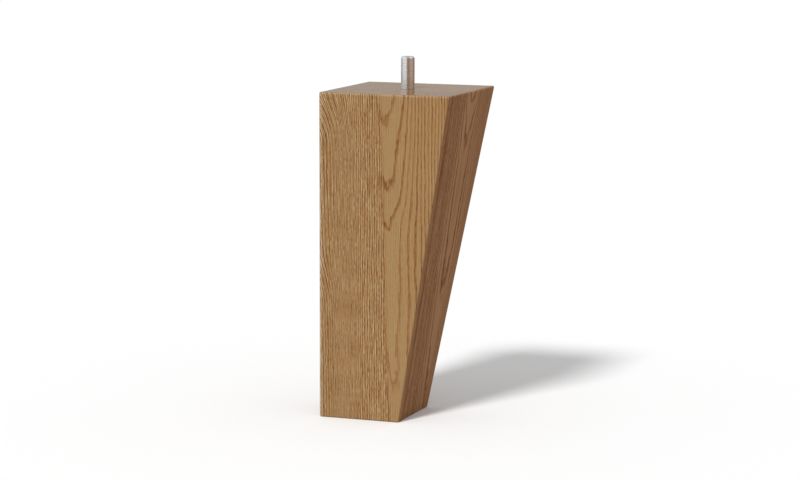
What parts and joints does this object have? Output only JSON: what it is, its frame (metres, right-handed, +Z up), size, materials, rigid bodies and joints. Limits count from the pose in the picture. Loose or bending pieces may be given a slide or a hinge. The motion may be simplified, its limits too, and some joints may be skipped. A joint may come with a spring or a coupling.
{
  "type": "tapered furniture leg",
  "caption": "Square solid wood furniture leg, upright on the outer sides and tapered on the inner ones to a smaller foot, with a threaded steel hanger bolt in its mounting face.",
  "frame": {"origin": "on the floor, straight below the axis of the hanger bolt and the centre of the mounting face", "axes": "+Z up, along the hanger bolt; the upright sides face -X and -Y, the tapered sides +X and +Y"},
  "size_m": [0.0799, 0.0799, 0.209],
  "materials": {
    "oak": "oak, sanded and lacquered satin",
    "zinc_steel": "steel, bright zinc plated"
  },
  "bodies": {
    "root": {"leg_body": "oak", "hanger_bolt": "zinc_steel"}
  },
  "joints": []
}
